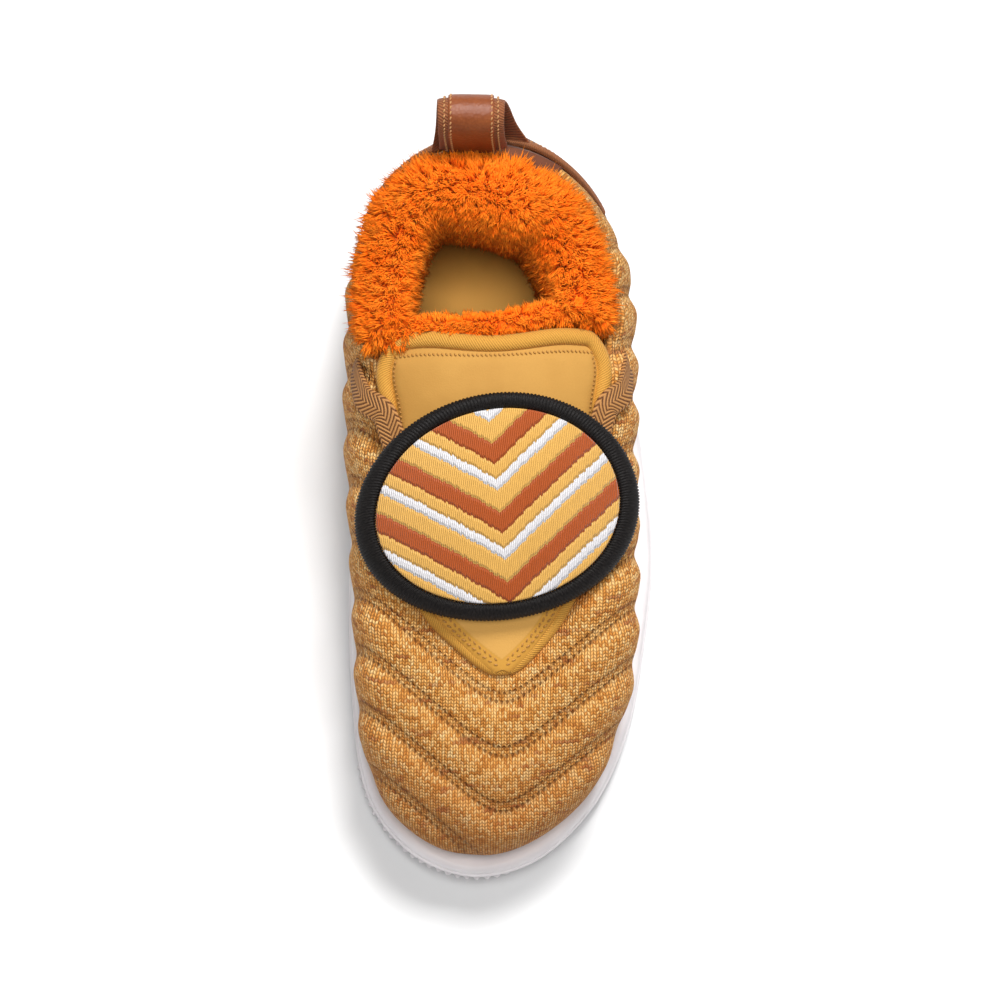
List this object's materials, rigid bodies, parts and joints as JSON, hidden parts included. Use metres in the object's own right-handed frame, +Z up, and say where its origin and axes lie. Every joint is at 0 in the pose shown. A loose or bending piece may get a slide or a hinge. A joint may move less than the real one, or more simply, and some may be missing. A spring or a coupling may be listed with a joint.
{
  "type": "toddler slip-on sports shoe",
  "caption": "Left slip-on knit sports shoe for a toddler, with a fur collar, padded tongue, oval badge on elastic straps, heel pull loop and white cupped sole.",
  "frame": {"origin": "middle of the shoe's box, on the floor that the sole stands on", "axes": "+Z up, +Y from toe to heel, +X towards the outer side of the left foot"},
  "size_m": [0.068, 0.1656, 0.0903],
  "materials": {
    "white_rubber": "matte, faintly glossy on the edge",
    "white_foam": "satin moulded foam",
    "tan_liner": "short nap",
    "ochre_knit": "marled knit",
    "yellow_padding": "smooth bonded cloth",
    "orange_fur": "plush pile",
    "brown_elastic": "herringbone webbing",
    "stitched_badge": "satin stitch",
    "black_thread": "overlocked thread",
    "dark_brown_panel": "felted cloth",
    "brown_leather": "smooth grain"
  },
  "bodies": {
    "root": {"outsole": "white_rubber", "midsole": "white_foam", "insole": "tan_liner", "upper": "ochre_knit", "tongue": "yellow_padding", "fur_collar": "orange_fur", "strap_inner": "brown_elastic", "strap_outer": "brown_elastic", "patch": "stitched_badge", "patch_border": "black_thread", "heel_counter": "dark_brown_panel", "pull_loop": "brown_leather"}
  },
  "joints": []
}
